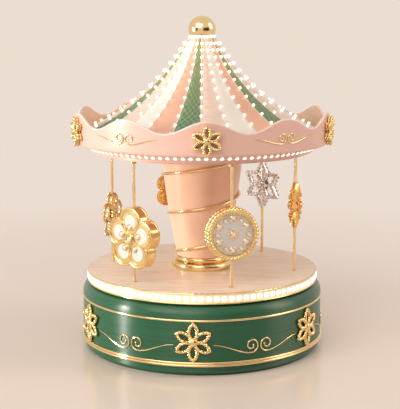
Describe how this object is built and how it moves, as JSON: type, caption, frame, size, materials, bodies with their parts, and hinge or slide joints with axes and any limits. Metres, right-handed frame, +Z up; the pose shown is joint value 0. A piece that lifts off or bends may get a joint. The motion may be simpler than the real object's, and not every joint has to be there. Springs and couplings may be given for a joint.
{
  "type": "carousel music box",
  "caption": "Wind-up carousel music box: round drum base, turning lit platform and tented canopy on a central column, with jewel charms that ride up and down on poles.",
  "frame": {"origin": "centre of the felt ring that the base stands on, on the rotor's vertical axis", "axes": "+Z up along the rotor's axis, -Y towards the front of the base, +X to the right"},
  "size_m": [0.1696, 0.1702, 0.216],
  "materials": {
    "green_lacquer": "glossy lacquer over fine straight grain",
    "pale_wood": "satin, fine grain",
    "gold": "polished",
    "rope_gold": "polished, beaded edges",
    "amber_gold": "polished with amber stones",
    "silver_pave": "set all over with small clear stones",
    "pearl": "mother-of-pearl sheen",
    "pink_lacquer": "satin lacquer",
    "peach_lacquer": "satin lacquer",
    "gore_green": "mottled lacquer",
    "gore_blush": "satin lacquer",
    "gore_white": "satin lacquer",
    "gore_peach": "satin lacquer",
    "lamp": "lit, warm white",
    "felt": "short nap",
    "black_plastic": "moulded",
    "ivory_plastic": "moulded",
    "die_cast": "as cast",
    "steel": "brushed",
    "brass": "machined",
    "cell": "plain sleeve"
  },
  "bodies": {
    "base": {"base_shell": "green_lacquer", "lower_band": "gold", "upper_band": "gold", "felt_ring": "felt", "base_rosettes": "rope_gold", "base_scrolls": "gold", "bottom_cover": "black_plastic", "screws": "steel", "bedplate": "die_cast", "spring_barrel": "steel", "mainspring": "steel", "music_comb": "steel", "bearing_plate": "steel", "centre_bush": "brass", "cam_drum": "ivory_plastic"},
    "carousel": {"crown_wheel": "brass", "drive_shaft": "steel", "platform": "pale_wood", "platform_trims": "gold", "platform_lights": "lamp", "pole_bushes": "brass", "column": "peach_lacquer", "column_foot": "gold", "column_wire": "gold", "battery_holder": "black_plastic", "batteries": "cell", "soffit": "pink_lacquer", "switch_body": "black_plastic", "valance": "pink_lacquer", "valance_lights": "lamp", "valance_rosettes": "rope_gold", "valance_scrolls": "gold", "gores_green": "gore_green", "gores_blush": "gore_blush", "gores_white": "gore_white", "gores_peach": "gore_peach", "light_strings": "lamp", "finial_collar": "lamp", "finial": "gold"},
    "cylinder": {"music_cylinder": "brass", "cylinder_arbor": "steel"},
    "governor_wheel_body": {"governor_wheel": "brass"},
    "governor": {"governor_worm": "steel"},
    "key": {"winding_key": "steel", "winding_arbor": "steel"},
    "switch": {"switch_knob": "black_plastic"},
    "pole_1_body": {"pole_1": "gold", "medallion": "rope_gold", "medallion_pearls": "pearl"},
    "pole_2_body": {"pole_2": "gold", "star_flower": "amber_gold"},
    "pole_3_body": {"pole_3": "gold", "snowflake": "silver_pave"},
    "pole_4_body": {"pole_4": "gold", "gold_blossom": "amber_gold"},
    "pole_5_body": {"pole_5": "gold", "open_blossom": "rope_gold"},
    "pole_6_body": {"pole_6": "gold", "pearl_blossom": "rope_gold", "pearl_inlays": "pearl"}
  },
  "joints": [
    {"name": "carousel_spin", "type": "hinge", "parent": "base", "child": "carousel", "pos_m": [0, 0, 0.0442], "axis": [0, 0, 1], "continuous": true},
    {"name": "cylinder_spin", "type": "hinge", "parent": "base", "child": "cylinder", "pos_m": [0.0338, 0, 0.0247], "axis": [1, 0, 0], "continuous": true},
    {"name": "governor_wheel_spin", "type": "hinge", "parent": "base", "child": "governor_wheel_body", "pos_m": [0.0466, -0.00935, 0.0247], "axis": [1, 0, 0], "continuous": true},
    {"name": "governor_spin", "type": "hinge", "parent": "base", "child": "governor", "pos_m": [0.0466, -0.01485, 0.0247], "axis": [0, 0, 1], "continuous": true},
    {"name": "winding_key_turn", "type": "hinge", "parent": "base", "child": "key", "pos_m": [0, 0, 0.012], "axis": [0, 0, 1], "continuous": true, "deforming": ["mainspring"]},
    {"name": "pole_1_slide", "type": "slide", "parent": "carousel", "child": "pole_1_body", "axis": [0, 0, 1], "range_m": [-0.00593, 0.01407]},
    {"name": "pole_2_slide", "type": "slide", "parent": "carousel", "child": "pole_2_body", "axis": [0, 0, 1], "range_m": [-0.01588, 0.00412]},
    {"name": "pole_3_slide", "type": "slide", "parent": "carousel", "child": "pole_3_body", "axis": [0, 0, 1], "range_m": [-0.01995, 0.00006]},
    {"name": "pole_4_slide", "type": "slide", "parent": "carousel", "child": "pole_4_body", "axis": [0, 0, 1], "range_m": [-0.01407, 0.00593]},
    {"name": "pole_5_slide", "type": "slide", "parent": "carousel", "child": "pole_5_body", "axis": [0, 0, 1], "range_m": [-0.00412, 0.01588]},
    {"name": "pole_6_slide", "type": "slide", "parent": "carousel", "child": "pole_6_body", "axis": [0, 0, 1], "range_m": [-0.00006, 0.01995]},
    {"name": "switch_slide", "type": "slide", "parent": "carousel", "child": "switch", "axis": [1, 0, 0], "range_m": [0, 0.003]}
  ],
  "couplings": [
    {"joint": "cylinder_spin", "follows": "carousel_spin", "ratio": -4},
    {"joint": "governor_wheel_spin", "follows": "carousel_spin", "ratio": 9.6},
    {"joint": "governor_spin", "follows": "carousel_spin", "ratio": 57.6}
  ]
}
